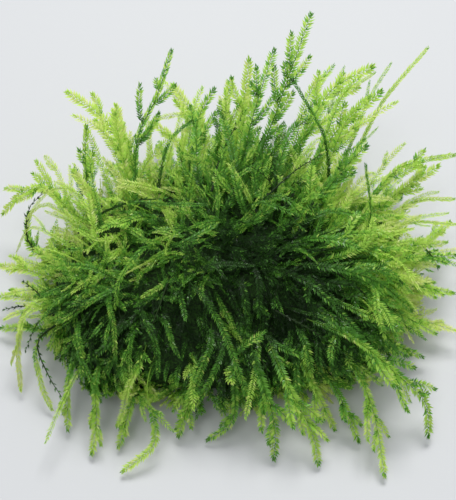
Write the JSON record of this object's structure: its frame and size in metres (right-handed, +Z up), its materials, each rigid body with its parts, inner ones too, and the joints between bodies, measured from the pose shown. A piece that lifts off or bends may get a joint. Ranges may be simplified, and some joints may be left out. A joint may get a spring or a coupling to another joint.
{
  "type": "moss clump",
  "caption": "Low round clump of wet feather moss: a matted mound, flat underneath, with leafy shoots that stand up at the back, spread sideways and droop over the front.",
  "frame": {"origin": "middle of the flat underside of the mat, on the surface that the clump rests on", "axes": "+Z up; -Y towards the front, over which the shoots droop; +X to the right, along the clump's longest side"},
  "size_m": [0.0958, 0.084, 0.0411],
  "materials": {
    "mat": "dark wet matted stems and old leaves",
    "green": "wet mid green leafy shoots, with a soft gloss",
    "lime": "wet young yellow-green shoots, thin enough to let light through",
    "straw": "pale straw-yellow shoot",
    "stem": "bare dark old stem"
  },
  "bodies": {
    "root": {"moss_mat": "mat", "back_left_spire": "green", "back_left_fan_1": "lime", "back_left_fan_2": "lime", "back_left_fan_3": "lime", "back_left_fan_4": "lime", "back_left_edge": "green", "crown_spire": "green", "crown_shoot_1": "green", "crown_shoot_2": "lime", "crown_shoot_3": "lime", "crown_shoot_4": "green", "crown_shoot_5": "green", "crown_stem": "stem", "back_right_fan_1": "lime", "back_right_fan_2": "lime", "back_right_fan_3": "lime", "back_right_runner": "lime", "back_right_shoot": "green", "back_right_stem": "stem", "right_stem": "stem", "right_shoot_1": "lime", "right_shoot_2": "lime", "right_shoot_3": "lime", "right_shoot_4": "lime", "right_shoot_5": "lime", "right_shoot_6": "green", "right_shoot_7": "green", "right_shoot_8": "straw", "right_shoot_9": "green", "right_shoot_10": "green", "right_shoot_11": "green", "front_right_frond": "green", "front_right_1": "green", "front_right_2": "green", "front_right_3": "green", "front_middle_1": "green", "front_middle_2": "green", "front_middle_3": "green", "front_left_1": "green", "front_left_hook": "lime", "front_left_2": "green", "front_left_3": "green", "front_left_4": "green", "left_fall_1": "lime", "left_fall_2": "lime", "left_arch": "lime", "left_shoot_1": "lime", "left_shoot_2": "green", "left_shoot_3": "lime", "left_shoot_4": "lime", "left_shoot_5": "green", "rear_shoot_1": "green", "rear_shoot_2": "green", "rear_shoot_3": "green", "rear_shoot_4": "green", "rear_shoot_5": "lime", "rear_shoot_6": "green"}
  },
  "joints": []
}
